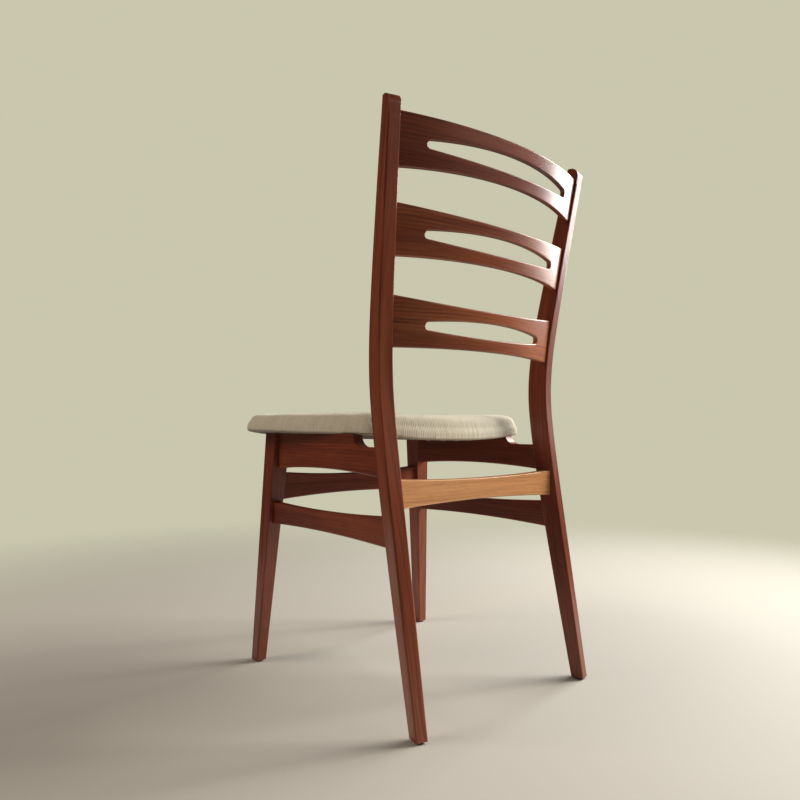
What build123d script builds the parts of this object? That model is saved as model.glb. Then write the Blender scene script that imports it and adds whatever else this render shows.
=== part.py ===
"""Ladder-back dining chair with an upholstered seat pad.

Millimetres, +Z up. The origin is on the floor at the middle of the chair.
The sitter faces -Y, so the back is at +Y and the sitter's left is +X.
"""

from build123d import *
from math import asin, atan, cos, hypot, pi, radians, sin, sqrt
import os

os.makedirs("parts", exist_ok=True)

# ---------------------------------------------------------------- driving sizes

overall_height = 918.0
glide_thickness = 3.0
edge_radius = 2.5          # softened long edges of the legs
board_edge_radius = 2.0    # softened long edges of rails and slats
joint_gap = 0.1            # glue line round tenons and dowels

# rear legs: one bent piece each, turned outwards and splayed
rear_foot_x = 187.0
rear_foot_y = 225.3
rear_leg_turn = 12.5       # degrees about Z, rear face towards the outside
rear_leg_splay = 2.3       # degrees, top leaning outwards
knee_height = 515.0
knee_blend = 84.0          # how softly the rake turns into the lean
lower_rake = 0.185         # forward run per height, floor to knee
upper_lean = 0.209         # backward run per height, knee to top
rear_foot_depth = 22.0
rear_knee_depth = 36.0
rear_top_depth = 24.0
rear_foot_width = 19.5
rear_knee_width = 25.0
rear_top_width = 20.5
rear_top_round = 15.0      # rounded rear corner at the top of the post
rear_top_ease = 2.5        # eased front corner at the top of the post

# front legs: straight, tapered and splayed
front_foot_x = 202.0
front_foot_y = -214.2
front_top_x = 177.0
front_top_y = -193.7
front_foot_width = 20.0
front_foot_depth = 22.5
front_top_width = 33.0
front_top_depth = 38.0

# seat pad
seat_middle_height = 415.0  # underside at the centre line
seat_sag = 18.0             # rise of the underside from centre to front corner
seat_half_width = 235.0     # at the front corners
seat_front_overhang = 42.0  # past the front faces of the front legs
seat_front_bow = 12.0
seat_rear_bow = 26.0
seat_rear_gap = 6.0         # rear edge to the front faces of the posts
seat_rear_reach = 5.0       # rear corners outside the inner faces of the posts
seat_front_corner = 38.0
seat_rear_corner = 34.0
board_thickness = 9.0
pad_middle_thickness = 43.0
pad_edge_thickness = 30.0
pad_top_round = 12.0
cover_thickness = 1.5
soft_gap = 0.3
cover_turn_under = 24.0     # width of cloth turned under the board
staple_crown = 10.0
staple_wire = 0.8
staple_leg = 4.0
staple_pitch = 32.0
staple_edge_distance = 15.0
staple_rail_gap = 4.0       # last side staple to the rail's outer face

# side seat rails
rail_thickness = 19.0
rail_setback = 10.0         # outer face behind the front leg's outer face
rail_bottom_height = 361.0
rail_arch = 7.0
rail_rear_drop = 20.0       # depth of the scoop under the pad's rear corner
scoop_length = 66.0
scoop_round = 22.0

# lower side stretchers
stretcher_thickness = 17.0
stretcher_setback = 9.0
stretcher_middle_height = 278.5
stretcher_middle_depth = 33.0
stretcher_front_flare = 2.5
stretcher_rear_flare = 9.0
stretcher_bottom_arch = 4.5
stretcher_waist_at = 0.42   # where the top edge is lowest, as a share of the length

# rear stretcher
rear_stretcher_thickness = 20.0
rear_stretcher_height = 337.0
rear_stretcher_depth = 33.5
rear_stretcher_flare = 5.5

# front rail
front_rail_thickness = 20.0
front_rail_height = 326.0
front_rail_depth = 37.0
front_rail_flare_top = 9.0
front_rail_flare_bottom = 7.0

# joints: each rail and stretcher is housed this far into the legs
front_housing = 4.0
rear_housing = 6.5
cross_housing = 5.0

# dowels
dowel_diameter = 8.0
dowel_length = 30.0
dowel_end_gap = 0.5         # glue space past each end of a dowel
rail_dowel_pitch = 20.0
stretcher_dowel_pitch = 16.0

# back slats
slat_thickness = 9.0
slat_mortise_depth = 11.0
slat_face_setback = 2.5     # rear face in front of the posts' rear inner edges
slot_end_radius = 6.5
slats = {
    "top_slat": dict(
        drop=63.0, bow=41.0, slot_half_length=163.5, slot_half_height=13.5, slot_drop=0.0,
        top_end=41.0, top_middle=34.0, bottom_end=38.0, bottom_middle=32.0,
    ),
    "middle_slat": dict(
        drop=190.5, bow=37.0, slot_half_length=150.0, slot_half_height=13.5, slot_drop=0.0,
        top_end=42.0, top_middle=31.0, bottom_end=36.0, bottom_middle=32.5,
    ),
    "lower_slat": dict(
        drop=324.0, bow=35.0, slot_half_length=133.0, slot_half_height=13.0, slot_drop=1.2,
        top_end=43.0, top_middle=30.0, bottom_end=36.5, bottom_middle=34.0,
    ),
}

# small hardware
glide_diameter = 16.0
glide_nail_diameter = 2.0
glide_nail_length = 14.0
screw_diameter = 4.0
screw_head_diameter = 8.0
screw_head_height = 2.6
screw_head_round = 1.2
screw_grip = 24.0           # rail wood left above the screw head
screw_bite = 6.0            # into the seat board
screw_hole_diameter = 4.4
screw_counterbore = 10.0
screw_first_y = -112.2
screw_second_y = 22.8

# construction
overrun = 20.0              # cutting shapes run this far past what they cut
trim_window = 200.0         # room round a leg inside the outline that trims its top
trim_slack = 0.2
loft_overrun = 2.0          # the legs are drawn this far past the floor and their top
long_edge = 90.0            # only edges longer than this are softened


# ---------------------------------------------------------------- rear leg curves


def rear_centre(height):
    """Centre of the rear leg, measured backwards from its foot, at a height."""
    turn = (upper_lean + lower_rake) / 2
    drift = (upper_lean - lower_rake) / 2
    bend = hypot(height - knee_height, knee_blend) - hypot(knee_height, knee_blend)
    return turn * bend + drift * height


def blend_size(height, foot, knee, top):
    """Leg size that swells from the foot to the knee and thins to the top."""
    if height < knee_height:
        return foot + (knee - foot) * sin(pi / 2 * height / knee_height)
    rise = (height - knee_height) / (overall_height - knee_height)
    return knee + (top - knee) * rise**1.5


def rear_depth(height):
    return blend_size(height, rear_foot_depth, rear_knee_depth, rear_top_depth)


def rear_width(height):
    return blend_size(height, rear_foot_width, rear_knee_width, rear_top_width)


turn = radians(rear_leg_turn)
splay = radians(rear_leg_splay)
leg_back = Vector(sin(turn), cos(turn), 0)
leg_side = Vector(cos(turn), -sin(turn), 0)
leg_up = Vector(0, 0, 1) * cos(splay) + leg_side * sin(splay)
leg_out = leg_back.cross(leg_up)
rear_foot = Vector(rear_foot_x, rear_foot_y, 0)


def rear_point(height, back=0.0, out=0.0):
    """Point on the left rear leg at a height, offset backwards and outwards."""
    along = height / cos(splay)
    run = leg_back * (rear_centre(height) + back)
    return rear_foot + leg_up * along + run + leg_side * out


def inner_face_x(height):
    return rear_point(height, out=-rear_width(height) / 2).X


def front_leg_at(height):
    """Centre x, centre y, width and depth of the left front leg at a height."""
    share = height / seat_middle_height
    x = front_foot_x + (front_top_x - front_foot_x) * share
    y = front_foot_y + (front_top_y - front_foot_y) * share
    width = front_foot_width + (front_top_width - front_foot_width) * share
    depth = front_foot_depth + (front_top_depth - front_foot_depth) * share
    return x, y, width, depth


# ---------------------------------------------------------------- seat pad shape

seat_arc_radius = (seat_half_width**2 + seat_sag**2) / (2 * seat_sag)
post_front_y = rear_point(seat_middle_height, back=-rear_depth(seat_middle_height) / 2).Y
leg_front_y = front_leg_at(seat_middle_height)[1] - front_leg_at(seat_middle_height)[3] / 2
seat_front_y = leg_front_y - seat_front_overhang
seat_rear_y = post_front_y - seat_rear_gap
seat_rear_half_width = inner_face_x(seat_middle_height) + seat_rear_reach


def underside_height(x):
    """Height of the pad's dished underside at a distance from the centre line."""
    return seat_middle_height + seat_arc_radius - sqrt(seat_arc_radius**2 - x**2)


def pad_outline(inset):
    """Plan outline of the pad, drawn in from its edge by the inset."""
    front = seat_front_y + inset
    rear = seat_rear_y - inset
    front_x = seat_half_width - inset
    rear_x = seat_rear_half_width - inset
    front_corner_y = front + seat_front_bow
    rear_corner_y = rear - seat_rear_bow
    with BuildSketch() as outline:
        with BuildLine():
            ThreePointArc((-front_x, front_corner_y), (0, front), (front_x, front_corner_y))
            Line((front_x, front_corner_y), (rear_x, rear_corner_y))
            ThreePointArc((rear_x, rear_corner_y), (0, rear), (-rear_x, rear_corner_y))
            Line((-rear_x, rear_corner_y), (-front_x, front_corner_y))
        make_face()
        corners = outline.vertices().group_by(Axis.Y)
        fillet(corners[0], radius=seat_front_corner - inset)
        corners = outline.vertices().group_by(Axis.Y)
        fillet(corners[-1], radius=seat_rear_corner - inset)
    return outline.sketch


def pad_layer(low, high_middle, high_edge, inset, top_round=0.0):
    """Dished layer of the pad: heights are measured up from its underside."""
    reach = seat_half_width + overrun
    low_middle = seat_middle_height + low
    low_edge = underside_height(reach) + low
    top_middle = seat_middle_height + high_middle
    top_edge = underside_height(reach) + high_edge
    tall = max(top_middle, top_edge) - seat_middle_height + 2 * overrun
    with BuildPart() as layer:
        with BuildSketch(Plane.XZ.offset(-seat_rear_y - overrun)):
            with BuildLine():
                ThreePointArc((-reach, low_edge), (0, low_middle), (reach, low_edge))
                Line((reach, low_edge), (reach, top_edge))
                ThreePointArc((reach, top_edge), (0, top_middle), (-reach, top_edge))
                Line((-reach, top_edge), (-reach, low_edge))
            make_face()
        extrude(amount=seat_rear_y - seat_front_y + 2 * overrun)
        with BuildSketch(Plane.XY.offset(seat_middle_height - overrun)):
            add(pad_outline(inset))
        extrude(amount=tall, mode=Mode.INTERSECT)
        if top_round:
            fillet(layer.faces().sort_by(Axis.Z)[-1].edges(), radius=top_round)
    return layer.part


# ---------------------------------------------------------------- shared shapes


def dowel_cylinders(joints, clearance=0.0, end_gap=0.0):
    """Cylinders centred on each joint, pointing along its direction."""
    with BuildPart() as pins:
        for centre, direction in joints:
            half = dowel_length / 2 + end_gap
            start = Plane(origin=centre - direction * half, z_dir=direction)
            with BuildSketch(start):
                Circle(dowel_diameter / 2 + clearance)
            extrude(amount=2 * half)
    return pins.part


def joint_pair(centre, direction, pitch):
    """Two dowels one above the other."""
    lift = Vector(0, 0, pitch / 2)
    return [(centre - lift, direction), (centre + lift, direction)]


def mirrored(joints):
    return [
        (Vector(-centre.X, centre.Y, centre.Z), Vector(-way.X, way.Y, way.Z))
        for centre, way in joints
    ]


def side_member(front, rear, thickness, outline):
    """Board on edge between a front leg and a rear leg, outlined in its own plane."""
    run = (rear - front).normalized()
    plane = Plane(origin=front, x_dir=run, z_dir=run.cross(Vector(0, 0, 1)))
    with BuildPart() as member:
        with BuildSketch(plane):
            with BuildLine():
                outline((rear - front).length)
            make_face()
        extrude(amount=thickness / 2, both=True)
        long_edges = member.edges().filter_by(lambda edge: edge.length > long_edge)
        fillet(long_edges, radius=board_edge_radius)
    return member.part


def cross_member(y, height, middle_depth, flare_top, flare_bottom, thickness, half_length):
    """Waisted board on edge that runs across the chair."""
    top = height + middle_depth / 2
    bottom = height - middle_depth / 2
    with BuildPart() as member:
        with BuildSketch(Plane.XZ.offset(-y)):
            with BuildLine():
                ThreePointArc(
                    (-half_length, top + flare_top), (0, top), (half_length, top + flare_top)
                )
                Line((half_length, top + flare_top), (half_length, bottom - flare_bottom))
                ThreePointArc(
                    (half_length, bottom - flare_bottom),
                    (0, bottom),
                    (-half_length, bottom - flare_bottom),
                )
                Line((-half_length, bottom - flare_bottom), (-half_length, top + flare_top))
            make_face()
        extrude(amount=thickness / 2, both=True)
        long_edges = member.edges().filter_by(lambda edge: edge.length > long_edge)
        fillet(long_edges, radius=board_edge_radius)
    return member.part


def slat_solid(size, clearance=0.0, slotted=True):
    """Bowed slat that leans with the posts; clearance grows it into its own mortise."""
    axis_height = overall_height - size["drop"]
    inner_x = inner_face_x(axis_height)
    rear_edge = rear_point(
        axis_height, back=rear_depth(axis_height) / 2, out=-rear_width(axis_height) / 2
    )
    rise = rear_point(axis_height + 1) - rear_point(axis_height - 1)
    lean = atan(rise.Y / rise.Z)
    bow = size["bow"]
    arc_radius = (inner_x**2 + bow**2) / (2 * bow)
    middle = Vector(0, rear_edge.Y - slat_face_setback + bow, axis_height)
    half_length = inner_x + slat_mortise_depth + clearance
    plan = Plane(origin=middle, x_dir=(1, 0, 0), z_dir=(0, sin(lean), cos(lean)))
    elevation = Plane(origin=middle, x_dir=(1, 0, 0), z_dir=(0, -1, 0))
    top_end = size["top_end"] + clearance
    bottom_end = size["bottom_end"] + clearance
    tall = max(top_end, bottom_end) + bow
    reach = tall + slat_thickness
    with BuildPart() as slat:
        with BuildSketch(plan.offset(-tall)):
            with Locations((0, -arc_radius)):
                Circle(arc_radius + clearance)
                Circle(arc_radius - slat_thickness - clearance, mode=Mode.SUBTRACT)
            Rectangle(2 * half_length, 2 * arc_radius, mode=Mode.INTERSECT)
        extrude(amount=2 * tall)
        with BuildSketch(elevation.offset(-reach)):
            with BuildLine():
                ThreePointArc(
                    (-half_length, top_end), (0, size["top_middle"]), (half_length, top_end)
                )
                Line((half_length, top_end), (half_length, -bottom_end))
                ThreePointArc(
                    (half_length, -bottom_end),
                    (0, -size["bottom_middle"]),
                    (-half_length, -bottom_end),
                )
                Line((-half_length, -bottom_end), (-half_length, top_end))
            make_face()
        extrude(amount=2 * reach, mode=Mode.INTERSECT)
        if slotted:
            with BuildSketch(elevation.offset(-reach)):
                with Locations((0, -size["slot_drop"])):
                    add(slot_outline(size["slot_half_length"], size["slot_half_height"]))
            extrude(amount=2 * reach, mode=Mode.SUBTRACT)
            curved_edges = slat.edges().filter_by(GeomType.LINE, reverse=True)
            fillet(curved_edges, radius=board_edge_radius)
    return slat.part


def slot_outline(half_length, half_height):
    """Long lens whose rounded ends run smoothly into its upper and lower arcs."""
    end_x = half_length - slot_end_radius
    rise = half_height - slot_end_radius
    arc_radius = (end_x**2 + half_height**2 - slot_end_radius**2) / (2 * rise)
    centre_distance = arc_radius - slot_end_radius
    meet_x = end_x * arc_radius / centre_distance
    meet_y = (arc_radius - half_height) * (arc_radius / centre_distance - 1)
    with BuildSketch() as slot:
        with BuildLine():
            ThreePointArc((-meet_x, meet_y), (0, half_height), (meet_x, meet_y))
            ThreePointArc((meet_x, meet_y), (half_length, 0), (meet_x, -meet_y))
            ThreePointArc((meet_x, -meet_y), (0, -half_height), (-meet_x, -meet_y))
            ThreePointArc((-meet_x, -meet_y), (-half_length, 0), (-meet_x, meet_y))
        make_face()
    return slot.sketch


# ---------------------------------------------------------------- joint places

rail_middle_height = (rail_bottom_height + rail_arch + underside_height(front_top_x)) / 2
leg_x, leg_y, leg_width, leg_depth = front_leg_at(rail_middle_height)
rail_front = Vector(
    leg_x + leg_width / 2 - rail_setback - rail_thickness / 2, leg_y + leg_depth / 2, 0
)
rail_rear = rear_point(rail_middle_height, back=-rear_depth(rail_middle_height) / 2)
rail_rear = Vector(rail_rear.X, rail_rear.Y, 0)
rail_way = (rail_rear - rail_front).normalized()

leg_x, leg_y, leg_width, leg_depth = front_leg_at(stretcher_middle_height)
stretcher_front = Vector(
    leg_x + leg_width / 2 - stretcher_setback - stretcher_thickness / 2,
    leg_y + leg_depth / 2,
    0,
)
stretcher_rear = rear_point(
    stretcher_middle_height, back=-rear_depth(stretcher_middle_height) / 2
)
stretcher_rear = Vector(stretcher_rear.X, stretcher_rear.Y, 0)
stretcher_way = (stretcher_rear - stretcher_front).normalized()

rear_stretcher_y = rear_point(rear_stretcher_height).Y
front_rail_x, front_rail_y, front_rail_leg_width, _ = front_leg_at(front_rail_height)
across = Vector(1, 0, 0)

rail_rear_top = underside_height(rail_rear.X) - rail_rear_drop
rail_front_dowel_z = rail_middle_height
rail_rear_dowel_z = (rail_bottom_height + rail_rear_top) / 2
side_rail_joints = joint_pair(
    rail_front + Vector(0, 0, rail_front_dowel_z), rail_way, rail_dowel_pitch
) + joint_pair(rail_rear + Vector(0, 0, rail_rear_dowel_z), rail_way, rail_dowel_pitch)
side_stretcher_joints = joint_pair(
    stretcher_front + Vector(0, 0, stretcher_middle_height),
    stretcher_way,
    stretcher_dowel_pitch,
) + joint_pair(
    stretcher_rear + Vector(0, 0, stretcher_middle_height), stretcher_way, stretcher_dowel_pitch
)
rear_stretcher_joints = joint_pair(
    Vector(inner_face_x(rear_stretcher_height), rear_stretcher_y, rear_stretcher_height),
    across,
    stretcher_dowel_pitch,
)
front_rail_joints = joint_pair(
    Vector(front_rail_x - front_rail_leg_width / 2, front_rail_y, front_rail_height),
    across,
    rail_dowel_pitch,
)

side_rail_pins = dowel_cylinders(side_rail_joints, joint_gap, dowel_end_gap)
side_stretcher_pins = dowel_cylinders(side_stretcher_joints, joint_gap, dowel_end_gap)
rear_stretcher_pins = dowel_cylinders(rear_stretcher_joints, joint_gap, dowel_end_gap)
front_rail_pins = dowel_cylinders(front_rail_joints, joint_gap, dowel_end_gap)


def glide_solid(x, y, clearance=0.0):
    """Domed nail-on glide with its nail."""
    with BuildPart() as glide:
        with BuildSketch():
            with Locations((x, y)):
                Circle(glide_diameter / 2)
        extrude(amount=glide_thickness)
        fillet(glide.edges().group_by(Axis.Z)[0], radius=glide_thickness / 2)
        with BuildSketch(Plane.XY.offset(glide_thickness)):
            with Locations((x, y)):
                Circle(glide_nail_diameter / 2 + clearance)
        extrude(amount=glide_nail_length + clearance)
    return glide.part


def staple_spots():
    """Points and directions of the staples along the turned-under cloth."""
    spots = []
    front_count = int((seat_half_width - seat_front_corner) / staple_pitch)
    for step in range(-front_count, front_count + 1):
        x = step * staple_pitch
        bend = seat_front_bow * (x / seat_half_width) ** 2
        spots.append((x, seat_front_y + staple_edge_distance + bend, 0.0))
    rear_count = int((seat_rear_half_width - seat_rear_corner) / staple_pitch)
    for step in range(-rear_count, rear_count + 1):
        x = step * staple_pitch
        bend = seat_rear_bow * (x / seat_rear_half_width) ** 2
        spots.append((x, seat_rear_y - staple_edge_distance - bend, 0.0))
    side_start = seat_front_y + seat_front_bow + seat_front_corner
    side_run = seat_rear_y - seat_rear_bow - side_start
    taper = (seat_half_width - seat_rear_half_width) / side_run
    outer_rail_x = rail_front.X + rail_thickness / 2 + staple_wire
    y = side_start
    x = seat_half_width - staple_edge_distance
    while x > outer_rail_x + staple_rail_gap:
        spots.append((x, y, 90.0))
        spots.append((-x, y, 90.0))
        y += staple_pitch
        x -= taper * staple_pitch
    return spots


def staple_solids(clearance=0.0):
    """Wire staples, crown under the cloth and two legs up into the board."""
    with BuildPart() as staples:
        for x, y, heading in staple_spots():
            slope = asin(x / seat_arc_radius)
            along = Vector(cos(slope), 0, sin(slope))
            up = Vector(-sin(slope), 0, cos(slope))
            if heading:
                along = Vector(0, 1, 0)
            crown = Plane(
                origin=(x, y, underside_height(x)), x_dir=along, z_dir=along.cross(up)
            )
            half = staple_crown / 2 + clearance
            inner = staple_crown / 2 - staple_wire - clearance
            leg = staple_leg + clearance
            with BuildSketch(crown):
                with BuildLine():
                    Polyline(
                        (-half, -staple_wire),
                        (half, -staple_wire),
                        (half, leg),
                        (inner, leg),
                        (inner, 0),
                        (-inner, 0),
                        (-inner, leg),
                        (-half, leg),
                        close=True,
                    )
                make_face()
            extrude(amount=staple_wire / 2 + clearance, both=True)
    return staples.part


floor_span = 6 * seat_half_width
floor_block = Pos(0, 0, glide_thickness - overrun) * Box(floor_span, floor_span, 2 * overrun)
seat_envelope = pad_layer(0, 2 * pad_middle_thickness, 2 * pad_middle_thickness, -overrun)

# ---------------------------------------------------------------- rails and stretchers, uncut


def rail_outline(length):
    front = -front_housing
    rear = length + rear_housing
    scoop_start = length - scoop_length
    top = underside_height(seat_half_width) + overrun
    middle = length / 2
    Polyline(
        (front, rail_bottom_height),
        (front, top),
        (scoop_start, top),
        (scoop_start, rail_rear_top + scoop_round),
    )
    RadiusArc(
        (scoop_start, rail_rear_top + scoop_round),
        (scoop_start + scoop_round, rail_rear_top),
        -scoop_round,
    )
    Polyline(
        (scoop_start + scoop_round, rail_rear_top),
        (rear, rail_rear_top),
        (rear, rail_bottom_height),
    )
    ThreePointArc(
        (rear, rail_bottom_height),
        (middle, rail_bottom_height + rail_arch),
        (front, rail_bottom_height),
    )


def stretcher_outline(length):
    front = -front_housing
    rear = length + rear_housing
    top = stretcher_middle_height + stretcher_middle_depth / 2
    bottom = stretcher_middle_height - stretcher_middle_depth / 2
    low = bottom - stretcher_bottom_arch
    front_top = top + stretcher_front_flare
    rear_top = top + stretcher_rear_flare
    ThreePointArc((front, front_top), (length * stretcher_waist_at, top), (rear, rear_top))
    Line((rear, rear_top), (rear, low))
    ThreePointArc((rear, low), (length / 2, bottom), (front, low))
    Line((front, low), (front, front_top))


side_rail_blank = side_member(rail_front, rail_rear, rail_thickness, rail_outline)
side_stretcher_blank = side_member(
    stretcher_front, stretcher_rear, stretcher_thickness, stretcher_outline
)
rear_stretcher_blank = cross_member(
    rear_stretcher_y,
    rear_stretcher_height,
    rear_stretcher_depth,
    rear_stretcher_flare,
    rear_stretcher_flare,
    rear_stretcher_thickness,
    inner_face_x(rear_stretcher_height) + cross_housing,
)
front_rail_blank = cross_member(
    front_rail_y,
    front_rail_height,
    front_rail_depth,
    front_rail_flare_top,
    front_rail_flare_bottom,
    front_rail_thickness,
    front_rail_x - front_rail_leg_width / 2 + cross_housing,
)

# ---------------------------------------------------------------- rear legs

rear_stations = 12
rear_step = (overall_height + 2 * loft_overrun) / (rear_stations - 1)
with BuildPart() as rear_leg_left:
    for station in range(rear_stations):
        height = station * rear_step - loft_overrun
        section = Plane(origin=rear_point(height), x_dir=leg_back, z_dir=leg_up)
        with BuildSketch(section):
            RectangleRounded(rear_depth(max(height, 0)), rear_width(max(height, 0)), edge_radius)
    loft()
    rear_side = Plane(origin=rear_foot, x_dir=leg_back, z_dir=leg_out)
    top_back = rear_centre(overall_height) + rear_depth(overall_height) / 2
    top_front = rear_centre(overall_height) - rear_depth(overall_height) / 2
    top_along = overall_height / cos(splay)
    shoulder = top_along - 2 * rear_top_round
    shoulder_back = top_back - 2 * rear_top_round * upper_lean
    shoulder_front = top_front - trim_slack - 2 * rear_top_round * upper_lean
    with BuildSketch(rear_side):
        with BuildLine():
            Polyline(
                (top_front - trim_slack, top_along),
                (top_back, top_along),
                (shoulder_back + trim_slack, shoulder),
                (shoulder_back + trim_window, shoulder - trim_window),
                (shoulder_back + trim_window, -overrun),
                (shoulder_front - trim_window, -overrun),
                (shoulder_front - trim_window, shoulder - trim_window),
                (shoulder_front - trim_slack, shoulder),
                close=True,
            )
        make_face()
        fillet(vertices().group_by(Axis.Y)[-1].sort_by(Axis.X)[-1], radius=rear_top_round)
        fillet(vertices().group_by(Axis.Y)[-1].sort_by(Axis.X)[0], radius=rear_top_ease)
    extrude(amount=rear_knee_width, both=True, mode=Mode.INTERSECT)
    add(floor_block, mode=Mode.SUBTRACT)
    for size in slats.values():
        add(slat_solid(size, clearance=joint_gap, slotted=False), mode=Mode.SUBTRACT)
    for housed in (side_rail_blank, side_stretcher_blank, rear_stretcher_blank):
        add(housed, mode=Mode.SUBTRACT)
    for pins in (side_rail_pins, side_stretcher_pins, rear_stretcher_pins):
        add(pins, mode=Mode.SUBTRACT)
    add(glide_solid(rear_foot_x, rear_foot_y, joint_gap), mode=Mode.SUBTRACT)

with BuildPart() as rear_leg_right:
    mirror(rear_leg_left.part, about=Plane.YZ)

# ---------------------------------------------------------------- front legs

leg_top_height = underside_height(front_top_x + front_top_width) + overrun
with BuildPart() as front_leg_left:
    for height in (0, leg_top_height):
        leg_x, leg_y, leg_width, leg_depth = front_leg_at(height)
        with BuildSketch(Plane.XY.offset(height)):
            with Locations((leg_x, leg_y)):
                RectangleRounded(leg_width, leg_depth, edge_radius)
    loft(ruled=True)
    add(floor_block, mode=Mode.SUBTRACT)
    add(seat_envelope, mode=Mode.SUBTRACT)
    for housed in (side_rail_blank, side_stretcher_blank, front_rail_blank):
        add(housed, mode=Mode.SUBTRACT)
    for pins in (side_rail_pins, side_stretcher_pins, front_rail_pins):
        add(pins, mode=Mode.SUBTRACT)
    add(glide_solid(front_foot_x, front_foot_y, joint_gap), mode=Mode.SUBTRACT)

with BuildPart() as front_leg_right:
    mirror(front_leg_left.part, about=Plane.YZ)

# ---------------------------------------------------------------- back slats

slat_parts = {}
for name, size in slats.items():
    with BuildPart() as slat_parts[name]:
        add(slat_solid(size))

# ---------------------------------------------------------------- side rails


screw_spots = []
for screw_y in (screw_first_y, screw_second_y):
    share = (screw_y - rail_front.Y) / (rail_rear.Y - rail_front.Y)
    screw_spots.append((rail_front.X + (rail_rear.X - rail_front.X) * share, screw_y))


def screw_solid(x, y, clearance=0.0):
    """Pan-head wood screw, head down."""
    seat = underside_height(x) - screw_grip
    tip = underside_height(x) + cover_thickness + soft_gap + screw_bite
    with BuildPart() as screw:
        with BuildSketch(Plane.XY.offset(seat - screw_head_height)):
            with Locations((x, y)):
                Circle(screw_head_diameter / 2)
        extrude(amount=screw_head_height)
        fillet(screw.edges().group_by(Axis.Z)[0], radius=screw_head_round)
        with BuildSketch(Plane.XY.offset(seat)):
            with Locations((x, y)):
                Circle(screw_diameter / 2 + clearance)
        extrude(amount=tip - seat + clearance)
    return screw.part


with BuildPart() as side_rail_left:
    add(side_rail_blank)
    add(seat_envelope, mode=Mode.SUBTRACT)
    add(side_rail_pins, mode=Mode.SUBTRACT)
    for x, y in screw_spots:
        seat = underside_height(x) - screw_grip
        with BuildSketch(Plane.XY.offset(rail_bottom_height - overrun)):
            with Locations((x, y)):
                Circle(screw_counterbore / 2)
        extrude(amount=seat - rail_bottom_height + overrun, mode=Mode.SUBTRACT)
        with BuildSketch(Plane.XY.offset(seat - screw_head_height)):
            with Locations((x, y)):
                Circle(screw_hole_diameter / 2)
        extrude(amount=screw_head_height + screw_grip + overrun, mode=Mode.SUBTRACT)

with BuildPart() as side_rail_right:
    mirror(side_rail_left.part, about=Plane.YZ)

# ---------------------------------------------------------------- side stretchers


with BuildPart() as side_stretcher_left:
    add(side_stretcher_blank)
    add(side_stretcher_pins, mode=Mode.SUBTRACT)

with BuildPart() as side_stretcher_right:
    mirror(side_stretcher_left.part, about=Plane.YZ)

# ---------------------------------------------------------------- cross members

with BuildPart() as rear_stretcher:
    add(rear_stretcher_blank)
    add(rear_stretcher_pins, mode=Mode.SUBTRACT)
    mirror(rear_stretcher_pins, about=Plane.YZ, mode=Mode.SUBTRACT)

with BuildPart() as front_rail:
    add(front_rail_blank)
    add(front_rail_pins, mode=Mode.SUBTRACT)
    mirror(front_rail_pins, about=Plane.YZ, mode=Mode.SUBTRACT)

# ---------------------------------------------------------------- dowels

with BuildPart() as side_rail_dowels:
    add(dowel_cylinders(side_rail_joints + mirrored(side_rail_joints)))

with BuildPart() as side_stretcher_dowels:
    add(dowel_cylinders(side_stretcher_joints + mirrored(side_stretcher_joints)))

with BuildPart() as rear_stretcher_dowels:
    add(dowel_cylinders(rear_stretcher_joints + mirrored(rear_stretcher_joints)))

with BuildPart() as front_rail_dowels:
    add(dowel_cylinders(front_rail_joints + mirrored(front_rail_joints)))

# ---------------------------------------------------------------- seat pad

skin = cover_thickness + soft_gap
board_top = skin + board_thickness

staple_holes = staple_solids(joint_gap)

with BuildPart() as seat_board:
    add(pad_layer(skin, board_top, board_top, skin))
    add(staple_holes, mode=Mode.SUBTRACT)
    for x, y in screw_spots:
        for side in (-1, 1):
            add(screw_solid(side * x, y, joint_gap), mode=Mode.SUBTRACT)

with BuildPart() as seat_foam:
    add(
        pad_layer(
            board_top + soft_gap,
            pad_middle_thickness - skin,
            pad_edge_thickness - skin,
            skin,
            pad_top_round - skin,
        )
    )

with BuildPart() as seat_cover:
    add(pad_layer(0, pad_middle_thickness, pad_edge_thickness, 0, pad_top_round))
    add(
        pad_layer(
            cover_thickness,
            pad_middle_thickness - cover_thickness,
            pad_edge_thickness - cover_thickness,
            cover_thickness,
            pad_top_round - cover_thickness,
        ),
        mode=Mode.SUBTRACT,
    )
    with BuildSketch(Plane.XY.offset(seat_middle_height - overrun)):
        add(pad_outline(cover_turn_under))
    extrude(amount=overrun + seat_sag + 2 * cover_thickness, mode=Mode.SUBTRACT)
    add(staple_holes, mode=Mode.SUBTRACT)
    for x, y in screw_spots:
        for side in (-1, 1):
            add(screw_solid(side * x, y, joint_gap), mode=Mode.SUBTRACT)

with BuildPart() as seat_dust_cover:
    add(pad_layer(0, cover_thickness, cover_thickness, cover_turn_under + soft_gap))
    for x, y in screw_spots:
        for side in (-1, 1):
            add(screw_solid(side * x, y, joint_gap), mode=Mode.SUBTRACT)

# ---------------------------------------------------------------- small hardware

with BuildPart() as cover_staples:
    add(staple_solids())

with BuildPart() as seat_screws:
    for x, y in screw_spots:
        for side in (-1, 1):
            add(screw_solid(side * x, y))

with BuildPart() as foot_glides:
    for side in (-1, 1):
        add(glide_solid(side * rear_foot_x, rear_foot_y))
        add(glide_solid(side * front_foot_x, front_foot_y))

# ---------------------------------------------------------------- export

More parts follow.
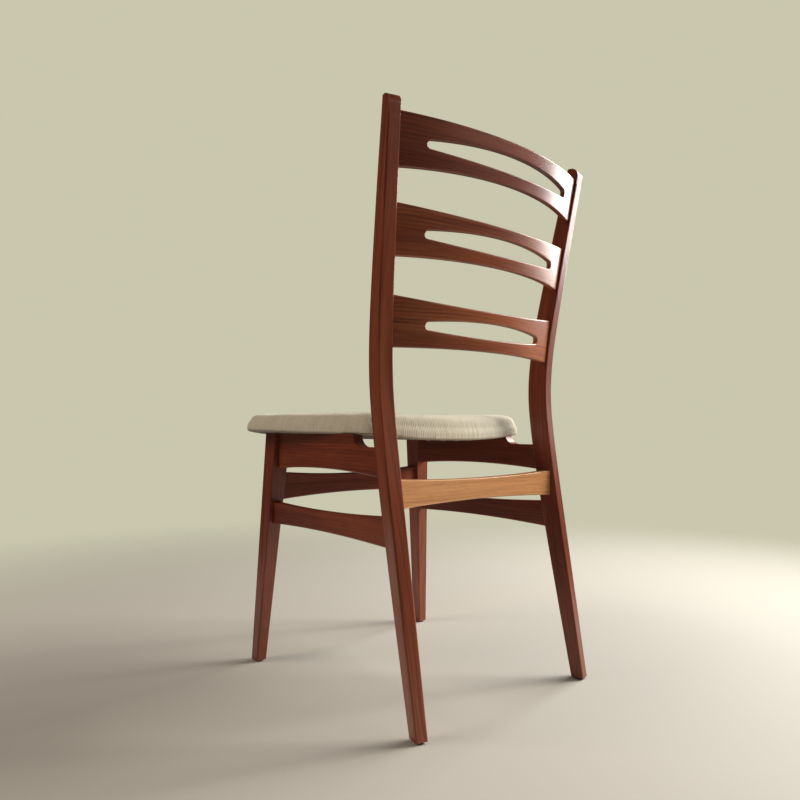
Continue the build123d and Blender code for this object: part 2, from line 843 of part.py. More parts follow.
pieces = {
    "rear_leg_left": rear_leg_left,
    "rear_leg_right": rear_leg_right,
    "front_leg_left": front_leg_left,
    "front_leg_right": front_leg_right,
    "side_rail_left": side_rail_left,
    "side_rail_right": side_rail_right,
    "side_stretcher_left": side_stretcher_left,
    "side_stretcher_right": side_stretcher_right,
    "rear_stretcher": rear_stretcher,
    "front_rail": front_rail,
    "side_rail_dowels": side_rail_dowels,
    "side_stretcher_dowels": side_stretcher_dowels,
    "rear_stretcher_dowels": rear_stretcher_dowels,
    "front_rail_dowels": front_rail_dowels,
    "seat_board": seat_board,
    "seat_foam": seat_foam,
    "seat_cover": seat_cover,
    "seat_dust_cover": seat_dust_cover,
    "cover_staples": cover_staples,
    "seat_screws": seat_screws,
    "foot_glides": foot_glides,
} | slat_parts

for name, piece in pieces.items():
    piece.part.label = name
    export_step(piece.part, f"parts/{name}.step")
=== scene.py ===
import math

import bmesh
import bpy
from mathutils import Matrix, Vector, kdtree, noise


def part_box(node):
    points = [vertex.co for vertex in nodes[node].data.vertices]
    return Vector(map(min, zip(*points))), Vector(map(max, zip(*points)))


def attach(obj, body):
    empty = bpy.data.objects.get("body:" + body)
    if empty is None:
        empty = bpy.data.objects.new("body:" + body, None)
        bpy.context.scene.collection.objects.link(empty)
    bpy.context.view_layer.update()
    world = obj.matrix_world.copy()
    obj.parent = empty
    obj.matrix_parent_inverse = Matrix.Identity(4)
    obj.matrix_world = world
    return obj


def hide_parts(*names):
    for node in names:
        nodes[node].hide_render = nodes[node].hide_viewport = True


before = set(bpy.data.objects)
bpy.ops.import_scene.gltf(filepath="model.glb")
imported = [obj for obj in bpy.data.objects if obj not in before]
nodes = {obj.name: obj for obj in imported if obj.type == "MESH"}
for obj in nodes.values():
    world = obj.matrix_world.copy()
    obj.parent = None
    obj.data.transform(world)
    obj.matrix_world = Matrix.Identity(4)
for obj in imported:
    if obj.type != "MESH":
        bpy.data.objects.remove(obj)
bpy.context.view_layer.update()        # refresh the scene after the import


# ---------------------------------------------------------------- node helpers


class Graph:
    """Short way to write a material's nodes."""

    def __init__(self, name):
        self.material = bpy.data.materials.new(name)
        self.material.use_nodes = True
        self.tree = self.material.node_tree
        self.shader = self.tree.nodes["Principled BSDF"]
        self.coords = self.tree.nodes.new("ShaderNodeTexCoord").outputs["Object"]

    def plug(self, socket, value):
        if isinstance(value, bpy.types.NodeSocket):
            self.tree.links.new(value, socket)
        elif value is not None:
            socket.default_value = value

    def math(self, kind, a, b=0.0, clamp=False):
        node = self.tree.nodes.new("ShaderNodeMath")
        node.operation = kind
        node.use_clamp = clamp
        self.plug(node.inputs[0], a)
        self.plug(node.inputs[1], b)
        return node.outputs[0]

    def stretch(self, scale, offset=(0, 0, 0), turn=(0, 0, 0), source=None):
        """Object coordinates scaled, turned and shifted."""
        node = self.tree.nodes.new("ShaderNodeMapping")
        self.plug(node.inputs["Vector"], source or self.coords)
        node.inputs["Scale"].default_value = scale
        node.inputs["Location"].default_value = offset
        node.inputs["Rotation"].default_value = turn
        return node.outputs[0]

    def split(self, vector):
        node = self.tree.nodes.new("ShaderNodeSeparateXYZ")
        self.plug(node.inputs[0], vector)
        return node.outputs

    def join(self, x, y, z):
        node = self.tree.nodes.new("ShaderNodeCombineXYZ")
        for socket, value in zip(node.inputs, (x, y, z)):
            self.plug(socket, value)
        return node.outputs[0]

    def noise(self, vector, scale, detail=4.0, rough=0.55, distortion=0.0):
        node = self.tree.nodes.new("ShaderNodeTexNoise")
        self.plug(node.inputs["Vector"], vector)
        node.inputs["Scale"].default_value = scale
        node.inputs["Detail"].default_value = detail
        node.inputs["Roughness"].default_value = rough
        node.inputs["Distortion"].default_value = distortion
        return node.outputs["Fac"]

    def ramp(self, value, low, high, out_low=0.0, out_high=1.0, smooth=True):
        node = self.tree.nodes.new("ShaderNodeMapRange")
        node.interpolation_type = "SMOOTHSTEP" if smooth else "LINEAR"
        self.plug(node.inputs["Value"], value)
        node.inputs["From Min"].default_value = low
        node.inputs["From Max"].default_value = high
        node.inputs["To Min"].default_value = out_low
        node.inputs["To Max"].default_value = out_high
        return node.outputs["Result"]

    def mix(self, amount, a, b, blend="MIX"):
        node = self.tree.nodes.new("ShaderNodeMix")
        node.data_type = "RGBA"
        node.blend_type = blend
        self.plug(node.inputs["Factor"], amount)
        colours = [s for s in node.inputs if s.type == "RGBA"]
        for socket, value in zip(colours, (a, b)):
            if not isinstance(value, bpy.types.NodeSocket):
                value = (*value, 1.0)
            self.plug(socket, value)
        return [s for s in node.outputs if s.type == "RGBA"][0]

    def bump(self, height, distance, strength=1.0, normal=None):
        node = self.tree.nodes.new("ShaderNodeBump")
        self.plug(node.inputs["Height"], height)
        node.inputs["Distance"].default_value = distance
        node.inputs["Strength"].default_value = strength
        if normal is not None:
            self.plug(node.inputs["Normal"], normal)
        return node.outputs["Normal"]

    def set(self, **values):
        for name, value in values.items():
            self.plug(self.shader.inputs[name.replace("_", " ")], value)
        return self.material


# ---------------------------------------------------------------- wood


LONG_X, LONG_Y, LONG_Z = 0, 1, 2
KNEE = 0.515                # height where the rear legs bend
KNEE_BLEND = 0.084
LEG_TURN = 0.197
LEG_DRIFT = 0.012
SPLAY = 0.040
SLAT_RADIUS = 0.55          # bow of the back slats in plan


def straight(g):
    return g.coords


def bent_leg(g):
    """Coordinates that run along a rear leg's bend, so that its grain does too."""
    x, y, z = g.split(g.coords)
    above = g.math("SUBTRACT", z, KNEE)
    bend = g.math("ADD", g.math("MULTIPLY", above, above), KNEE_BLEND**2)
    run = g.math("MULTIPLY", g.math("SQRT", bend), LEG_TURN)
    run = g.math("ADD", run, g.math("MULTIPLY", z, LEG_DRIFT))
    out = g.math("SUBTRACT", g.math("ABSOLUTE", x), g.math("MULTIPLY", z, SPLAY))
    return g.join(out, g.math("SUBTRACT", y, run), z)


def bowed_slat(g):
    x, y, z = g.split(g.coords)
    sag = g.math("MULTIPLY", g.math("MULTIPLY", x, x), 0.5 / SLAT_RADIUS)
    return g.join(x, g.math("ADD", y, sag), z)


def teak(name, along, seed, follow, palette):
    """Oiled teak whose grain runs along one axis of the piece."""
    g = Graph(name)
    coords = follow(g)
    shift = (seed * 1.37, seed * 0.71, seed * 2.13)

    def grain(along_scale, across_scale):
        scale = [across_scale] * 3
        scale[along] = along_scale
        return g.stretch(scale, shift, source=coords)

    # growth rings of a log whose heart lies off to one side, wandering a little
    wander = g.noise(grain(1.6, 7.0), 1.0, 2.0, 0.5)
    fine_wander = g.noise(grain(7.0, 60.0), 1.0, 3.0, 0.6)
    axes = [0, 1, 2]
    axes.remove(along)
    xyz = g.split(coords)
    a = g.math("ADD", xyz[axes[0]], 0.055 + 0.020 * math.sin(seed * 5.1))
    b = g.math("ADD", xyz[axes[1]], 0.090 + 0.025 * math.cos(seed * 3.3))
    radius = g.math("SQRT", g.math("ADD", g.math("MULTIPLY", a, a), g.math("MULTIPLY", b, b)))
    radius = g.math("ADD", radius, g.math("MULTIPLY", wander, 0.055))
    radius = g.math("ADD", radius, g.math("MULTIPLY", fine_wander, 0.0035))
    rings = g.math("FRACT", g.math("MULTIPLY", radius, 170.0))
    late = g.math("MULTIPLY", g.ramp(rings, 0.25, 0.92), g.ramp(rings, 1.0, 0.93))
    uneven = g.ramp(g.noise(grain(2.0, 55.0), 1.0, 2.0, 0.5), 0.35, 0.70, 0.15, 1.0)
    late = g.math("MULTIPLY", late, uneven)
    # fibres, open pores and slow changes of tone
    fibres = g.noise(grain(10.0, 520.0), 1.0, 4.0, 0.65)
    streaks = g.noise(grain(2.4, 95.0), 1.0, 3.0, 0.55)
    pores = g.ramp(g.noise(grain(30.0, 1300.0), 1.0, 2.0, 0.6), 0.60, 0.72)
    clouds = g.noise(grain(2.6, 11.0), 1.0, 3.0, 0.5)
    tone = 1.0 + 0.07 * math.sin(seed * 2.7)

    def tint(r, gr, bl):
        return (r * tone, gr * tone, bl * tone)

    light, middle, dark = (tint(*c) for c in palette)
    colour = g.mix(g.ramp(clouds, 0.30, 0.70), middle, light)
    colour = g.mix(g.ramp(streaks, 0.42, 0.72, 0.0, 0.42), colour, dark)
    colour = g.mix(g.math("MULTIPLY", late, 0.50), colour, dark)
    colour = g.mix(g.ramp(fibres, 0.45, 0.75, 0.0, 0.38), colour, dark)
    colour = g.mix(g.math("MULTIPLY", pores, 0.55), colour, (0.024, 0.007, 0.005))
    # rubbed arrises: polish worn to a paler, warmer brown
    bevel = g.tree.nodes.new("ShaderNodeBevel")
    bevel.samples = 4
    bevel.inputs["Radius"].default_value = 0.0022
    geometry = g.tree.nodes.new("ShaderNodeNewGeometry")
    dot = g.tree.nodes.new("ShaderNodeVectorMath")
    dot.operation = "DOT_PRODUCT"
    g.tree.links.new(bevel.outputs[0], dot.inputs[0])
    g.tree.links.new(geometry.outputs["Normal"], dot.inputs[1])
    edge = g.ramp(dot.outputs["Value"], 0.995, 0.90)
    patch = g.ramp(g.noise(grain(6.0, 26.0), 1.0, 3.0, 0.6), 0.42, 0.66)
    worn = g.math("MULTIPLY", g.math("MULTIPLY", edge, patch), 0.50)
    colour = g.mix(worn, colour, tuple(min(1.0, c * 1.5) for c in light))
    height = g.math("SUBTRACT", g.math("MULTIPLY", fibres, 0.35), pores)
    normal = g.bump(height, 0.00010, 0.45)
    rough = g.ramp(g.noise(grain(5.0, 40.0), 1.0, 3.0, 0.6), 0.3, 0.7, 0.30, 0.42)
    rough = g.math("ADD", rough, g.math("MULTIPLY", pores, 0.15), clamp=True)
    g.set(
        Base_Color=colour,
        Roughness=rough,
        Normal=normal,
        Coat_Weight=0.40,
        Coat_Roughness=0.22,
        Specular_IOR_Level=0.40,
    )
    return g.material


def assign(node, material):
    slots = nodes[node].material_slots
    if not slots:
        raise RuntimeError(f"{node} has no material slot")
    for place in slots:
        place.material = material


# light, middle and dark tones. The first set is the teak's own colour; the two sets after it are
# brighter, more orange copies of it with painted light, standing in for the light that falls on
# the middle and lower slats and on the rear stretcher
RED = ((0.300, 0.072, 0.030), (0.190, 0.039, 0.017), (0.055, 0.0085, 0.006))
LIT_WARM = ((0.410, 0.125, 0.045), (0.250, 0.060, 0.023), (0.065, 0.010, 0.007))
LIT_PALE = ((0.800, 0.420, 0.190), (0.660, 0.310, 0.125), (0.400, 0.150, 0.060))
# painted light: the middle and lower slats and the rear stretcher take the brighter copies of the
# teak
LIT_TONES = {"middle_slat": LIT_WARM, "lower_slat": LIT_WARM, "rear_stretcher": LIT_PALE}

woods = {
    "rear_leg_left": (LONG_Z, bent_leg),
    "rear_leg_right": (LONG_Z, bent_leg),
    "front_leg_left": (LONG_Z, straight),
    "front_leg_right": (LONG_Z, straight),
    "side_rail_left": (LONG_Y, straight),
    "side_rail_right": (LONG_Y, straight),
    "side_stretcher_left": (LONG_Y, straight),
    "side_stretcher_right": (LONG_Y, straight),
    "rear_stretcher": (LONG_X, straight),
    "front_rail": (LONG_X, straight),
    "top_slat": (LONG_X, bowed_slat),
    "middle_slat": (LONG_X, bowed_slat),
    "lower_slat": (LONG_X, bowed_slat),
}
for seed, (node, (along, follow)) in enumerate(woods.items(), 1):
    assign(node, teak("teak_" + node, along, float(seed), follow, LIT_TONES.get(node, RED)))


def pale_wood(name, along, light, dark):
    """Raw beech or ply, seen only where a joint or the board shows."""
    g = Graph(name)
    scale = [260.0] * 3
    scale[along] = 9.0
    fibres = g.noise(g.stretch(scale), 1.0, 4.0, 0.6)
    flecks = g.ramp(g.noise(g.stretch([c * 2.5 for c in scale]), 1.0, 2.0, 0.5), 0.58, 0.68)
    colour = g.mix(g.ramp(fibres, 0.3, 0.7), light, dark)
    colour = g.mix(g.math("MULTIPLY", flecks, 0.4), colour, tuple(c * 0.5 for c in dark))
    g.set(Base_Color=colour, Roughness=0.62, Normal=g.bump(fibres, 0.0001, 0.4))
    return g.material


BEECH = ((0.56, 0.36, 0.20), (0.40, 0.23, 0.12))
for node, along in (
    ("side_rail_dowels", LONG_Y),
    ("side_stretcher_dowels", LONG_Y),
    ("rear_stretcher_dowels", LONG_X),
    ("front_rail_dowels", LONG_X),
    ("seat_board", LONG_Y),
):
    assign(node, pale_wood("beech_" + node, along, *BEECH))


def steel():
    g = Graph("zinc_plated_steel")
    grey = g.noise(g.stretch((900, 900, 900)), 1.0, 3.0, 0.6)
    g.set(
        Base_Color=g.mix(grey, (0.36, 0.36, 0.35), (0.62, 0.61, 0.58)),
        Metallic=1.0,
        Roughness=g.ramp(grey, 0.3, 0.7, 0.28, 0.45),
    )
    return g.material


def glide_plastic():
    g = Graph("glide_plastic")
    grit = g.noise(g.stretch((700, 700, 700)), 1.0, 3.0, 0.6)
    scuffs = g.ramp(g.noise(g.stretch((90, 300, 90)), 1.0, 3.0, 0.6), 0.55, 0.70)
    colour = g.mix(grit, (0.022, 0.016, 0.013), (0.045, 0.034, 0.028))
    g.set(
        Base_Color=g.mix(g.math("MULTIPLY", scuffs, 0.5), colour, (0.16, 0.14, 0.12)),
        Roughness=g.ramp(grit, 0.3, 0.7, 0.45, 0.65),
        Normal=g.bump(grit, 0.0001, 0.5),
    )
    return g.material


def dust_cloth():
    g = Graph("dust_cloth")
    web = g.noise(g.stretch((420, 420, 420)), 1.0, 5.0, 0.7)
    dots = g.tree.nodes.new("ShaderNodeTexVoronoi")
    g.tree.links.new(g.coords, dots.inputs["Vector"])
    dots.inputs["Scale"].default_value = 420.0
    dimple = g.ramp(dots.outputs["Distance"], 0.15, 0.40)
    g.set(
        Base_Color=g.mix(web, (0.010, 0.010, 0.010), (0.045, 0.043, 0.040)),
        Roughness=0.92,
        Normal=g.bump(g.math("ADD", g.math("MULTIPLY", web, 0.5), dimple), 0.0002, 0.6),
        Sheen_Weight=0.25,
    )
    return g.material


assign("cover_staples", steel())
assign("seat_screws", steel())
assign("foot_glides", glide_plastic())
assign("seat_dust_cover", dust_cloth())

# ---------------------------------------------------------------- seat pad


pad_low = Vector(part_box("seat_cover")[0])
PAD_ARC_RADIUS = 1.543      # dish of the underside, across the chair
PAD_MIDDLE = 0.043          # thickness at the centre line
PAD_EDGE = 0.030            # and at the sides, past which both surfaces run on
PAD_REACH = 0.255
TOP_ROUND = 0.014
BOTTOM_ROUND = 0.003
TURN_UNDER = 0.024          # cloth turned under the board
LINING = 0.0016             # thickness of the dust cover let in between
SLACK = 0.0012              # the pad starts this much smaller than its cover
PAD_SWELL = 0.0035
VOXEL = 0.0050
OUTLINE_POINTS = 480
OUTLINE_EASING = 5          # passes that round off the facets of the CAD mesh
FAN = (0.94, 0.75, 0.50, 0.30, 0.16)    # rings between the middle and the edge
BOARD_GRIP = (0.005, 0.014)  # heights over which the cloth comes free of the board
FREE_HEIGHT = (0.004, 0.018)    # heights over which the pad may swell
PRESSURE = 4.0
FRAMES = 20
SWELL_EASING = 6            # passes that even out the swelling
EDGE_HEIGHT = (0.010, 0.022)    # heights over which the tight lower edge lets go
GATHERS = 118               # small pleats round the edge, where the cloth is stapled
GATHER_DEPTH = 0.00030
GATHER_TOP = (0.010, 0.034)
EDGE_WAVE = 0.0006          # slow in and out of the lower edge
HOLLOWS = ((11.0, 0.0007), (38.0, 0.0002))  # unevenness: how close together, how deep
RIB_PITCH = 0.0034
PICK_PITCH = 0.0026


def underside(x):
    return pad_low.z + PAD_ARC_RADIUS - math.sqrt(PAD_ARC_RADIUS**2 - x * x)


def pad_top(x):
    low = pad_low.z + PAD_MIDDLE
    high = underside(PAD_REACH) + PAD_EDGE
    radius = (PAD_REACH**2 + (high - low) ** 2) / (2 * (high - low))
    return low + radius - math.sqrt(radius**2 - x * x)


def smooth_step(low, high, value):
    share = max(0.0, min(1.0, (value - low) / (high - low)))
    return share * share * (3 - 2 * share)


def plan_outline(count):
    """The pad's outline in plan, as evenly spaced points, counter-clockwise."""
    seen = {(round(v.co.x, 5), round(v.co.y, 5)) for v in nodes["seat_cover"].data.vertices}
    points = sorted(seen)

    def half(run):
        out = []
        for p in run:
            while len(out) > 1:
                (ax, ay), (bx, by) = out[-2], out[-1]
                if (bx - ax) * (p[1] - ay) - (by - ay) * (p[0] - ax) > 0:
                    break
                out.pop()
            out.append(p)
        return out[:-1]

    hull = half(points) + half(points[::-1])
    lengths = [math.dist(a, b) for a, b in zip(hull, hull[1:] + hull[:1])]
    total = sum(lengths)
    ring, side, done = [], 0, 0.0
    for k in range(count):
        target = total * k / count
        while done + lengths[side] < target:
            done += lengths[side]
            side += 1
        share = (target - done) / lengths[side]
        a, b = hull[side], hull[(side + 1) % len(hull)]
        ring.append(Vector((a[0] + (b[0] - a[0]) * share, a[1] + (b[1] - a[1]) * share)))
    for _ in range(OUTLINE_EASING):
        ring = [(ring[k - 1] + ring[k] * 2 + ring[(k + 1) % count]) / 4 for k in range(count)]
    return ring, total


OUTLINE, PERIMETER = plan_outline(OUTLINE_POINTS)
MIDDLE = sum(OUTLINE, Vector((0, 0))) / len(OUTLINE)

outline_tree = kdtree.KDTree(OUTLINE_POINTS)
for k, p in enumerate(OUTLINE):
    outline_tree.insert(Vector((p.x, p.y, 0)), k)
outline_tree.balance()


def drawn_in(inset):
    out = []
    for k, p in enumerate(OUTLINE):
        way = (OUTLINE[(k + 3) % OUTLINE_POINTS] - OUTLINE[k - 3]).normalized()
        out.append(p - Vector((way.y, -way.x)) * inset)
    return out


def edge_place(p):
    """Run round the outline, height over the underside, depth in from the edge, way out."""
    spot = Vector((p.x, p.y))
    _, index, _ = outline_tree.find(Vector((p.x, p.y, 0)))
    best = None
    for k in (index - 1, index):
        a, b = OUTLINE[k % OUTLINE_POINTS], OUTLINE[(k + 1) % OUTLINE_POINTS]
        way = b - a
        share = max(0.0, min(1.0, (spot - a).dot(way) / way.length_squared))
        gap = (spot - a - way * share).length
        if best is None or gap < best[0]:
            out = Vector((way.y, -way.x)).normalized()
            inside = gap if (spot - a).dot(out) < 0 else -gap
            best = (gap, ((k % OUTLINE_POINTS) + share) * PERIMETER / OUTLINE_POINTS, inside, out)
    return best[1], p.z - underside(p.x), best[2], best[3]


def pad_start():
    """Closed pad a little smaller than its cover, for the cloth to swell from."""
    rings = []
    for share in FAN:
        rings.append((None, share, 0.0, False))
    for inset in (TURN_UNDER, TURN_UNDER / 2):
        rings.append((inset, None, 0.0, False))
    for k in range(4):
        turn = math.pi / 2 * k / 3
        inset, rise = BOTTOM_ROUND * (1 - math.sin(turn)), BOTTOM_ROUND * (1 - math.cos(turn))
        rings.append((inset, None, rise, False))
    for k in range(7):
        turn = math.pi / 2 * k / 6
        inset = TOP_ROUND * (1 - math.cos(turn))
        rings.append((inset + SLACK, None, TOP_ROUND * (math.sin(turn) - 1) - SLACK, True))
    rings.append((TURN_UNDER, None, -SLACK, True))
    for share in FAN[::-1]:
        rings.append((None, share, -SLACK, True))
    bm = bmesh.new()
    rows = []
    for inset, share, rise, top in rings:
        if share is None:
            places = drawn_in(inset)
        else:
            places = [MIDDLE + (p - MIDDLE) * (1 - share) for p in OUTLINE]
        level = pad_top if top else underside
        rows.append([bm.verts.new((p.x, p.y, level(p.x) + rise)) for p in places])
    for low, high in zip(rows, rows[1:]):
        for k in range(OUTLINE_POINTS):
            j = (k + 1) % OUTLINE_POINTS
            bm.faces.new((low[k], low[j], high[j], high[k]))
    bm.faces.new(rows[0][::-1])
    bm.faces.new(rows[-1])
    bmesh.ops.recalc_face_normals(bm, faces=bm.faces)
    bmesh.ops.triangulate(bm, faces=[f for f in bm.faces if len(f.verts) > 4])
    mesh = bpy.data.meshes.new("seat_pad")
    bm.to_mesh(mesh)
    bm.free()
    return mesh


def apply_modifiers(piece):
    graph = bpy.context.evaluated_depsgraph_get()
    mesh = bpy.data.meshes.new_from_object(piece.evaluated_get(graph))
    piece.modifiers.clear()
    piece.data = mesh


def swell(piece):
    """Blow the pad up inside its cloth, its underside and lower edge held to the board."""
    held = piece.vertex_groups.new(name="held")
    for v in piece.data.vertices:
        height = edge_place(v.co)[1]
        held.add([v.index], 1.0 - smooth_step(*BOARD_GRIP, height), "REPLACE")
    cloth = piece.modifiers.new("cloth", "CLOTH")
    settings = cloth.settings
    settings.quality = 4
    settings.mass = 0.3
    settings.tension_stiffness = 12
    settings.compression_stiffness = 12
    settings.shear_stiffness = 6
    settings.bending_stiffness = 0.6
    settings.use_pressure = True
    settings.uniform_pressure_force = PRESSURE
    settings.effector_weights.gravity = 0.0
    settings.vertex_group_mass = "held"
    cloth.collision_settings.use_collision = False
    cloth.point_cache.frame_start = 1
    cloth.point_cache.frame_end = FRAMES
    for step in range(1, FRAMES + 1):
        bpy.context.scene.frame_set(step)
    apply_modifiers(piece)
    bpy.context.scene.frame_set(1)


def make_pad():
    piece = bpy.data.objects.new("seat_pad", pad_start())
    bpy.context.scene.collection.objects.link(piece)
    remesh = piece.modifiers.new("remesh", "REMESH")
    remesh.mode = "VOXEL"
    remesh.voxel_size = VOXEL
    even = piece.modifiers.new("even", "SMOOTH")
    even.factor = 0.5
    even.iterations = 3
    apply_modifiers(piece)
    start = [v.co.copy() for v in piece.data.vertices]
    swell(piece)
    moves = []
    for v, old in zip(piece.data.vertices, start):
        move = v.co - old
        cap = PAD_SWELL * smooth_step(*FREE_HEIGHT, edge_place(old)[1])
        moves.append(move * min(1.0, cap / move.length) if move.length > 0 else move)
    beside = [[] for _ in moves]
    for edge in piece.data.edges:
        a, b = edge.vertices
        beside[a].append(b)
        beside[b].append(a)
    for _ in range(SWELL_EASING):
        moves = [
            (move + sum((moves[k] for k in near), Vector())) / (len(near) + 1)
            for move, near in zip(moves, beside)
        ]
    for v, old, move in zip(piece.data.vertices, start, moves):
        v.co = old + move
    subdivide = piece.modifiers.new("subdivide", "SUBSURF")
    subdivide.levels = subdivide.render_levels = 1
    apply_modifiers(piece)
    return piece


def detail(piece):
    """Tight lower edge, pleats rising from it, and a slightly uneven surface."""
    mesh = piece.data
    for v in mesh.vertices:
        _, height, depth, out = edge_place(v.co)
        if height > EDGE_HEIGHT[1] or depth > 0.5 * TURN_UNDER and height > 0.008:
            continue
        corner_in, corner_up = BOTTOM_ROUND - depth, BOTTOM_ROUND - height
        away = Vector((out.x, out.y, 0))
        if corner_in > 0 and corner_up > 0:
            reach = math.hypot(corner_in, corner_up)
            short = BOTTOM_ROUND - reach
            push = (away * corner_in - Vector((0, 0, corner_up))) / max(reach, 1e-6) * short
        elif depth < height:
            push = away * depth
        else:
            push = Vector((0, 0, -height))
        v.co += push * (1 - smooth_step(*EDGE_HEIGHT, height))
    mesh.update()
    places = [edge_place(v.co) for v in mesh.vertices]
    normals = [v.normal.copy() for v in mesh.vertices]
    for v, n, (run, height, depth, _) in zip(mesh.vertices, normals, places):
        if depth > 0.006 and height < 0.006:
            v.co.z += LINING * smooth_step(TURN_UNDER - 0.0015, TURN_UNDER + 0.0015, depth)
            continue
        lift = smooth_step(0.004, 0.016, height)
        push = sum(noise.noise(v.co * pitch) * deep for pitch, deep in HOLLOWS) * lift
        if depth < 0.03:
            phase = 2 * math.pi * GATHERS * run / PERIMETER
            phase += noise.noise(Vector((run * 40, 0, 7))) * 2.0
            strength = 0.3 + 0.7 * smooth_step(-0.1, 0.35, noise.noise(Vector((run * 22, 3.1, 0))))
            fade = (1 - smooth_step(*GATHER_TOP, height)) * smooth_step(0.0, 0.004, height)
            push += math.sin(phase) * GATHER_DEPTH * strength * fade
            push += noise.noise(Vector((run * 9, 11.0, 0))) * EDGE_WAVE * fade
        v.co += n * push
    mesh.update()
    uv = mesh.uv_layers.new(name="round")
    flat = [0.0] * (2 * len(mesh.loops))
    for face in mesh.polygons:
        runs = [places[mesh.loops[k].vertex_index][0] for k in face.loop_indices]
        wrap = max(runs) - min(runs) > PERIMETER / 2
        for k, run in zip(face.loop_indices, runs):
            if wrap and run < PERIMETER / 2:
                run += PERIMETER
            flat[2 * k] = run
            flat[2 * k + 1] = places[mesh.loops[k].vertex_index][1]
    uv.data.foreach_set("uv", flat)
    mesh.polygons.foreach_set("use_smooth", [True] * len(mesh.polygons))


def seat_cloth():
    """Oatmeal upholstery linen: a ribbed weave with slubs, flecks and a soft nap, with a painted
    shadow along the lower edge.
    """
    g = Graph("seat_cloth")
    x, y, _ = g.split(g.coords)
    normal = g.tree.nodes.new("ShaderNodeNewGeometry").outputs["Normal"]
    nx, ny, _ = g.split(normal)
    steep_x = g.ramp(g.math("ABSOLUTE", nx), 0.55, 0.75)
    steep_y = g.ramp(g.math("ABSOLUTE", ny), 0.55, 0.75)
    uv = g.tree.nodes.new("ShaderNodeUVMap")
    uv.uv_map = "round"
    run, height, _ = g.split(uv.outputs[0])
    side = g.math("MAXIMUM", steep_x, steep_y)

    def weave(u, v):
        """Round ribs along v, with the crossing yarn showing between them."""
        a = g.math("SINE", g.math("MULTIPLY", u, 2 * math.pi / RIB_PITCH))
        b = g.math("SINE", g.math("MULTIPLY", v, 2 * math.pi / PICK_PITCH))
        cross = g.math("MULTIPLY", a, b)
        return g.math("ADD", g.math("MULTIPLY", a, 0.55), g.math("MULTIPLY", cross, 0.45))

    drift = g.math("MULTIPLY", g.noise(g.stretch((30, 30, 30)), 1.0, 2.0, 0.5), 0.0035)
    on_top = weave(g.math("ADD", x, drift), g.math("ADD", y, drift))
    on_side = weave(g.math("ADD", run, drift), height)
    rib = g.tree.nodes.new("ShaderNodeMix")
    rib.data_type = "FLOAT"
    g.plug(rib.inputs["Factor"], side)
    g.plug(rib.inputs["A"], on_top)
    g.plug(rib.inputs["B"], on_side)
    rib = rib.outputs["Result"]
    slubs_a = g.ramp(g.noise(g.stretch((22, 420, 60)), 1.0, 3.0, 0.6), 0.50, 0.72)
    slubs_b = g.ramp(g.noise(g.stretch((420, 22, 60)), 1.0, 3.0, 0.6), 0.50, 0.72)
    along_edge = g.join(g.math("MULTIPLY", run, 320), g.math("MULTIPLY", height, 18), 0.0)
    upright = g.ramp(g.noise(along_edge, 1.0, 3.0, 0.6), 0.42, 0.72)
    flecks = g.ramp(g.noise(g.stretch((620, 620, 620)), 1.0, 2.0, 0.6), 0.60, 0.74)
    blotch = g.noise(g.stretch((9, 9, 9)), 1.0, 3.0, 0.55)
    cream = (0.86, 0.82, 0.69)
    oat = (0.75, 0.70, 0.56)
    yarn = (0.46, 0.40, 0.29)
    colour = g.mix(g.ramp(blotch, 0.30, 0.70), oat, cream)
    colour = g.mix(g.ramp(rib, -0.5, 0.9, 0.42, 0.0), colour, yarn)
    colour = g.mix(g.math("MULTIPLY", g.math("ADD", slubs_a, slubs_b), 0.16), colour, yarn)
    colour = g.mix(g.math("MULTIPLY", g.math("MULTIPLY", upright, side), 0.34), colour, yarn)
    colour = g.mix(g.math("MULTIPLY", flecks, 0.35), colour, (0.34, 0.28, 0.20))
    # painted shade: the lowest 4 mm of the pad's side fade to dark brown, standing in for the
    # shadow along its lower edge
    painted_shade = g.math("MULTIPLY", g.ramp(height, 0.004, 0.0), 0.5)
    colour = g.mix(painted_shade, colour, (0.16, 0.125, 0.09))
    fuzz = g.noise(g.stretch((1500, 1500, 1500)), 1.0, 2.0, 0.7)
    relief = g.math("ADD", g.math("MULTIPLY", rib, 0.7), g.math("MULTIPLY", fuzz, 0.5))
    relief = g.math("ADD", relief, g.math("MULTIPLY", g.math("ADD", slubs_a, slubs_b), 0.35))
    g.set(
        Base_Color=colour,
        Roughness=g.ramp(fuzz, 0.3, 0.7, 0.86, 0.96),
        Normal=g.bump(relief, 0.00045, 0.8),
        Sheen_Weight=0.20,
        Sheen_Roughness=0.45,
        Specular_IOR_Level=0.25,
    )
    return g.material


seat = make_pad()
detail(seat)
seat.data.materials.clear()
seat.data.materials.append(seat_cloth())
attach(seat, "root")
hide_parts("seat_cover", "seat_foam")

# ---------------------------------------------------------------- stage


FLOOR_FULL = 0.75           # metres from the chair's middle where the floor starts to fade
FLOOR_GONE = 2.2
FLOOR_SIZE = 12.0           # half its side
FLOOR_COLOUR = (0.46, 0.435, 0.395)
WALL_COLOUR = (0.585, 0.570, 0.422)
AMBIENT = 0.10
AMBIENT_IN_GLOSS = 0.035


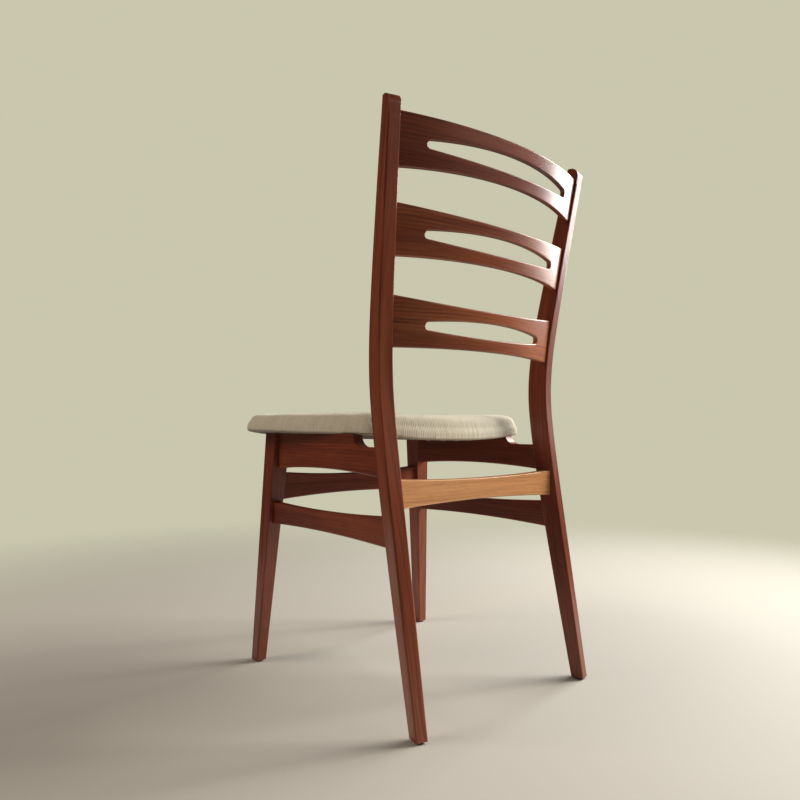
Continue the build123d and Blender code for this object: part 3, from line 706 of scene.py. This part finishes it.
def stage():
    """A pale floor that melts into a plain cream backdrop."""
    mesh = bpy.data.meshes.new("floor")
    bm = bmesh.new()
    bmesh.ops.create_grid(bm, x_segments=8, y_segments=8, size=FLOOR_SIZE)
    bm.to_mesh(mesh)
    bm.free()
    floor = bpy.data.objects.new("floor", mesh)
    bpy.context.scene.collection.objects.link(floor)
    g = Graph("floor_matte")
    x, y, _ = g.split(g.coords)
    away = g.math("SQRT", g.math("ADD", g.math("MULTIPLY", x, x), g.math("MULTIPLY", y, y)))
    g.set(
        Base_Color=(*FLOOR_COLOUR, 1.0),
        Roughness=0.7,
        Alpha=g.ramp(away, FLOOR_FULL, FLOOR_GONE, 1.0, 0.0),
    )
    mesh.materials.append(g.material)

    world = bpy.data.worlds.new("studio")
    bpy.context.scene.world = world
    world.use_nodes = True
    tree = world.node_tree
    glow = tree.nodes["Background"]
    glow.inputs["Color"].default_value = (1.0, 0.96, 0.86, 1.0)
    glow.inputs["Strength"].default_value = AMBIENT
    shine = tree.nodes.new("ShaderNodeBackground")
    shine.inputs["Color"].default_value = (1.0, 0.94, 0.84, 1.0)
    shine.inputs["Strength"].default_value = AMBIENT_IN_GLOSS
    wall = tree.nodes.new("ShaderNodeBackground")
    wall.inputs["Color"].default_value = (*WALL_COLOUR, 1.0)
    seen = tree.nodes.new("ShaderNodeLightPath")
    dim = tree.nodes.new("ShaderNodeMixShader")
    tree.links.new(seen.outputs["Is Glossy Ray"], dim.inputs["Fac"])
    tree.links.new(glow.outputs[0], dim.inputs[1])
    tree.links.new(shine.outputs[0], dim.inputs[2])
    mix = tree.nodes.new("ShaderNodeMixShader")
    tree.links.new(seen.outputs["Is Camera Ray"], mix.inputs["Fac"])
    tree.links.new(dim.outputs[0], mix.inputs[1])
    tree.links.new(wall.outputs[0], mix.inputs[2])
    tree.links.new(mix.outputs[0], tree.nodes["World Output"].inputs["Surface"])


def area_light(name, place, target, size, power, colour):
    data = bpy.data.lights.new(name, "AREA")
    data.shape = "RECTANGLE"
    data.size, data.size_y = size
    data.energy = power
    data.color = colour
    lamp = bpy.data.objects.new(name, data)
    bpy.context.scene.collection.objects.link(lamp)
    lamp.location = place
    lamp.rotation_euler = (Vector(target) - Vector(place)).to_track_quat("-Z", "Y").to_euler()
    return lamp


stage()
area_light("window", (-2.7, 0.28, 1.86), (0.0, 0.28, 0.70), (1.7, 1.8), 105.0, (1.0, 0.99, 0.95))
for name, place, size, power, colour in (
    ("daylight", (-2.65, 1.35, 1.80), (1.2, 1.2), 118.0, (1.0, 0.97, 0.88)),
    ("room", (2.20, -1.15, 2.20), (1.4, 1.4), 38.0, (1.0, 0.84, 0.70)),
):
    lamp = area_light(name, place, (0.0, 0.0, 0.50), size, power, colour)
    lamp.visible_glossy = False
area_light("bounce", (-1.6, 2.6, 2.05), (0.0, 0.1, 0.75), (2.2, 1.1), 17.0, (1.0, 0.96, 0.90))

# ---------------------------------------------------------------- camera

camera_place = Vector((0.80742, 0.93147, 0.43240))
camera_way = Vector((-0.63827, -0.76845, 0.04582))
camera_data = bpy.data.cameras.new("camera")
camera_data.sensor_width = 36.0
camera_data.lens = 29.77
camera = bpy.data.objects.new("camera", camera_data)
camera.location = camera_place
camera.rotation_euler = camera_way.to_track_quat("-Z", "Y").to_euler()
bpy.context.scene.collection.objects.link(camera)
bpy.context.scene.camera = camera

bpy.context.scene.view_settings.view_transform = "Standard"
